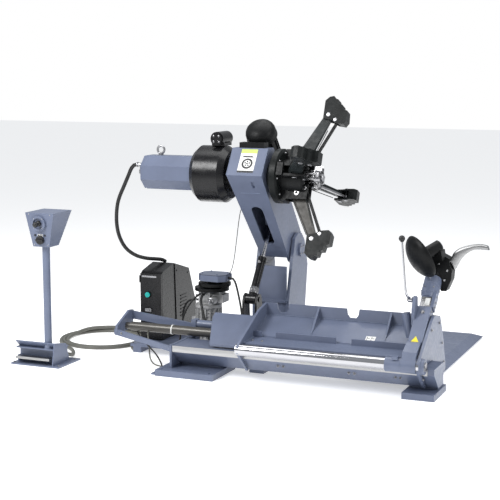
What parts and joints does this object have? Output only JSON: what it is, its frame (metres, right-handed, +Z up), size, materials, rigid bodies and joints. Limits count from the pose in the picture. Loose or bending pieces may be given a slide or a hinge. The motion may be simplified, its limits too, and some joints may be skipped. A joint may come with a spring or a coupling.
{
  "type": "truck tyre changer",
  "caption": "Heavy-duty tyre changer with a tilting boom and four-arm clamping chuck, a sliding tool carriage with hook and disc, and a free-standing control console.",
  "frame": {"origin": "on the floor under the middle of the machine and its console, without the loose cables", "axes": "+Z up, +X along the front beam to the tool end, +Y away from the operator"},
  "size_m": [3.0969, 2.0496, 1.7489],
  "materials": {
    "paint_blue": "semi-gloss slate blue-grey paint",
    "black_gloss": "gloss black paint",
    "dark_steel": "oil-blackened steel, worn at the edges",
    "plain_steel": "machined plain steel",
    "chrome": "hard chrome, polished",
    "grey_casting": "light grey cast housing",
    "teal_plastic": "teal push button cap",
    "black_plastic": "black moulded plastic",
    "hose_rubber": "black hydraulic hose cover",
    "cable_grey": "grey sheathed cable"
  },
  "bodies": {
    "base": {"front_beam": "paint_blue", "guide_strip": "plain_steel", "foot_plates": "paint_blue", "base_frame": "paint_blue", "boom_pedestal": "paint_blue", "cylinder_bracket": "paint_blue", "traverse_barrel": "black_gloss", "lift_bracket": "black_gloss", "cabinet": "black_gloss", "power_motor": "grey_casting", "valve_block": "grey_casting", "reservoir_cap": "paint_blue", "console_base": "paint_blue", "console_post": "paint_blue", "console_box": "paint_blue", "union_hose": "hose_rubber", "console_cable": "cable_grey", "cable_coil": "cable_grey"},
    "cabinet_door": {"cabinet_door": "black_gloss"},
    "push_button": {"push_button": "teal_plastic"},
    "joystick": {"joystick": "black_plastic"},
    "selector": {"selector": "black_plastic"},
    "foot_pedal": {"foot_pedal": "plain_steel"},
    "boom": {"boom_arm": "paint_blue", "drive_drum": "black_gloss", "actuator_housing": "paint_blue", "union_elbow": "plain_steel", "eye_bolt": "plain_steel", "spin_motor": "black_gloss", "aux_motor": "black_gloss"},
    "lift_barrel": {"lift_barrel": "black_gloss"},
    "lift_rod": {"lift_rod": "chrome"},
    "chuck": {"spindle": "dark_steel", "chuck_block": "black_gloss"},
    "chuck_hub": {"chuck_hub": "chrome"},
    "carriage": {"carriage_ends": "paint_blue", "tray": "paint_blue", "guide_bar": "chrome", "wheel_platform": "paint_blue", "traverse_rod": "chrome"},
    "tool_slide": {"slide_collar": "paint_blue"},
    "tool_arm": {"tool_arm": "paint_blue"},
    "arm_extension": {"arm_extension": "plain_steel"},
    "tool_head": {"tool_head": "black_gloss", "bead_hook": "plain_steel"},
    "disc": {"breaker_disc": "black_gloss"},
    "hand_lever": {"hand_lever": "chrome"},
    "arm_1": {"chuck_arm_1": "dark_steel"},
    "strut_1": {"chuck_strut_1": "plain_steel"},
    "jaw_1": {"chuck_jaw_1": "dark_steel"},
    "arm_2": {"chuck_arm_2": "dark_steel"},
    "strut_2": {"chuck_strut_2": "plain_steel"},
    "jaw_2": {"chuck_jaw_2": "dark_steel"},
    "arm_3": {"chuck_arm_3": "dark_steel"},
    "strut_3": {"chuck_strut_3": "plain_steel"},
    "jaw_3": {"chuck_jaw_3": "dark_steel"},
    "arm_4": {"chuck_arm_4": "dark_steel"},
    "strut_4": {"chuck_strut_4": "plain_steel"},
    "jaw_4": {"chuck_jaw_4": "dark_steel"}
  },
  "joints": [
    {"name": "cabinet_door_hinge", "type": "hinge", "parent": "base", "child": "cabinet_door", "pos_m": [-0.9315, -0.20516, 0.3], "axis": [0, 0, 1], "range_deg": [-110, 0]},
    {"name": "push_button_press", "type": "slide", "parent": "cabinet_door", "child": "push_button", "axis": [0, 1, 0], "range_m": [0, 0.006], "stiffness_N_per_m": 400, "springref_m": -0.002},
    {"name": "joystick_tilt", "type": "hinge", "parent": "base", "child": "joystick", "pos_m": [-1.2575, -0.96198, 0.943], "axis": [1, 0, 0], "range_deg": [-12, 12], "stiffness_Nm_per_rad": 2},
    {"name": "selector_turn", "type": "hinge", "parent": "base", "child": "selector", "pos_m": [-1.2535, -0.95371, 0.836], "axis": [0, -0.997, -0.0771], "range_deg": [-45, 45]},
    {"name": "foot_pedal_press", "type": "hinge", "parent": "base", "child": "foot_pedal", "pos_m": [-1.3295, -0.89716, 0.042], "axis": [1, 0, 0], "range_deg": [0, 12], "stiffness_Nm_per_rad": 6, "springref_deg": -14.32},
    {"name": "boom_tilt", "type": "hinge", "parent": "base", "child": "boom", "pos_m": [-0.0695, 0.28485, 0.68], "axis": [1, 0, 0], "range_deg": [0, 22]},
    {"name": "lift_barrel_swing", "type": "hinge", "parent": "base", "child": "lift_barrel", "pos_m": [-0.0695, -0.26515, 0.417], "axis": [1, 0, 0], "range_deg": [-2, 2]},
    {"name": "lift_rod_stroke", "type": "slide", "parent": "lift_barrel", "child": "lift_rod", "axis": [0, 0.5992, 0.8006], "range_m": [-0.13, 0.005]},
    {"name": "chuck_spin", "type": "hinge", "parent": "boom", "child": "chuck", "pos_m": [0.0705, -0.20516, 1.232], "axis": [1, 0, 0], "continuous": true},
    {"name": "chuck_hub_stroke", "type": "slide", "parent": "chuck", "child": "chuck_hub", "axis": [1, 0, 0], "range_m": [-0.012, 0.035]},
    {"name": "arm_1_swing", "type": "hinge", "parent": "chuck", "child": "arm_1", "pos_m": [0.2505, -0.1602, 1.34326], "axis": [0, 0.9272, -0.3746], "range_deg": [-8, 30]},
    {"name": "strut_1_swing", "type": "hinge", "parent": "chuck", "child": "strut_1", "pos_m": [0.3005, -0.17294, 1.31174], "axis": [0, 0.9272, -0.3746], "range_deg": [-9, 31]},
    {"name": "jaw_1_swing", "type": "hinge", "parent": "arm_1", "child": "jaw_1", "pos_m": [0.3905, -0.04969, 1.61678], "axis": [0, 0.9272, -0.3746], "range_deg": [-31, 9]},
    {"name": "arm_2_swing", "type": "hinge", "parent": "chuck", "child": "arm_2", "pos_m": [0.2505, -0.09389, 1.18705], "axis": [0, -0.3746, -0.9272], "range_deg": [-9, 31]},
    {"name": "strut_2_swing", "type": "hinge", "parent": "chuck", "child": "strut_2", "pos_m": [0.3005, -0.12542, 1.19978], "axis": [0, -0.3746, -0.9272], "range_deg": [-9, 31]},
    {"name": "jaw_2_swing", "type": "hinge", "parent": "arm_2", "child": "jaw_2", "pos_m": [0.3905, 0.17963, 1.07654], "axis": [0, -0.3746, -0.9272], "range_deg": [-31, 9]},
    {"name": "arm_3_swing", "type": "hinge", "parent": "chuck", "child": "arm_3", "pos_m": [0.2505, -0.25011, 1.12074], "axis": [0, -0.9272, 0.3746], "range_deg": [-9, 31]},
    {"name": "strut_3_swing", "type": "hinge", "parent": "chuck", "child": "strut_3", "pos_m": [0.3005, -0.23737, 1.15226], "axis": [0, -0.9272, 0.3746], "range_deg": [-9, 31]},
    {"name": "jaw_3_swing", "type": "hinge", "parent": "arm_3", "child": "jaw_3", "pos_m": [0.3905, -0.36062, 0.84722], "axis": [0, -0.9272, 0.3746], "range_deg": [-31, 9]},
    {"name": "arm_4_swing", "type": "hinge", "parent": "chuck", "child": "arm_4", "pos_m": [0.2505, -0.31642, 1.27695], "axis": [0, 0.3746, 0.9272], "range_deg": [-9, 31]},
    {"name": "strut_4_swing", "type": "hinge", "parent": "chuck", "child": "strut_4", "pos_m": [0.3005, -0.28489, 1.26422], "axis": [0, 0.3746, 0.9272], "range_deg": [-9, 31]},
    {"name": "jaw_4_swing", "type": "hinge", "parent": "arm_4", "child": "jaw_4", "pos_m": [0.3905, -0.58994, 1.38746], "axis": [0, 0.3746, 0.9272], "range_deg": [-31, 9]},
    {"name": "carriage_travel", "type": "slide", "parent": "base", "child": "carriage", "axis": [1, 0, 0], "range_m": [-0.3, 0]},
    {"name": "tool_slide_travel", "type": "slide", "parent": "carriage", "child": "tool_slide", "axis": [1, 0, 0], "range_m": [-0.14, 0]},
    {"name": "tool_arm_tilt", "type": "hinge", "parent": "tool_slide", "child": "tool_arm", "pos_m": [1.1665, -0.84715, 0.21], "axis": [1, 0, 0], "range_deg": [0, 70]},
    {"name": "arm_extend", "type": "slide", "parent": "tool_arm", "child": "arm_extension", "axis": [0, 0.7431, 0.6691], "range_m": [0, 0.12]},
    {"name": "head_swivel", "type": "hinge", "parent": "arm_extension", "child": "tool_head", "pos_m": [1.1665, -0.75516, 0.245], "axis": [0, 0.7431, 0.6691], "range_deg": [0, 180]},
    {"name": "disc_spin", "type": "hinge", "parent": "tool_head", "child": "disc", "pos_m": [1.1205, -0.44516, 0.797], "axis": [-0.6695, -0.5986, -0.4399], "continuous": true},
    {"name": "hand_lever_swing", "type": "hinge", "parent": "tool_arm", "child": "hand_lever", "pos_m": [1.0895, -0.56015, 0.548], "axis": [1, 0, 0], "range_deg": [-10, 20]}
  ],
  "couplings": [
    {"joint": "lift_barrel_swing", "follows": "boom_tilt", "ratio": 0.03},
    {"joint": "lift_rod_stroke", "follows": "boom_tilt", "m_per_rad": -0.2873},
    {"joint": "chuck_hub_stroke", "follows": "arm_1_swing", "m_per_rad": 0.06},
    {"joint": "strut_1_swing", "follows": "arm_1_swing", "ratio": 1},
    {"joint": "jaw_1_swing", "follows": "arm_1_swing", "ratio": -1},
    {"joint": "arm_2_swing", "follows": "arm_1_swing", "ratio": 1},
    {"joint": "strut_2_swing", "follows": "arm_1_swing", "ratio": 1},
    {"joint": "jaw_2_swing", "follows": "arm_1_swing", "ratio": -1},
    {"joint": "arm_3_swing", "follows": "arm_1_swing", "ratio": 1},
    {"joint": "strut_3_swing", "follows": "arm_1_swing", "ratio": 1},
    {"joint": "jaw_3_swing", "follows": "arm_1_swing", "ratio": -1},
    {"joint": "arm_4_swing", "follows": "arm_1_swing", "ratio": 1},
    {"joint": "strut_4_swing", "follows": "arm_1_swing", "ratio": 1},
    {"joint": "jaw_4_swing", "follows": "arm_1_swing", "ratio": -1}
  ]
}
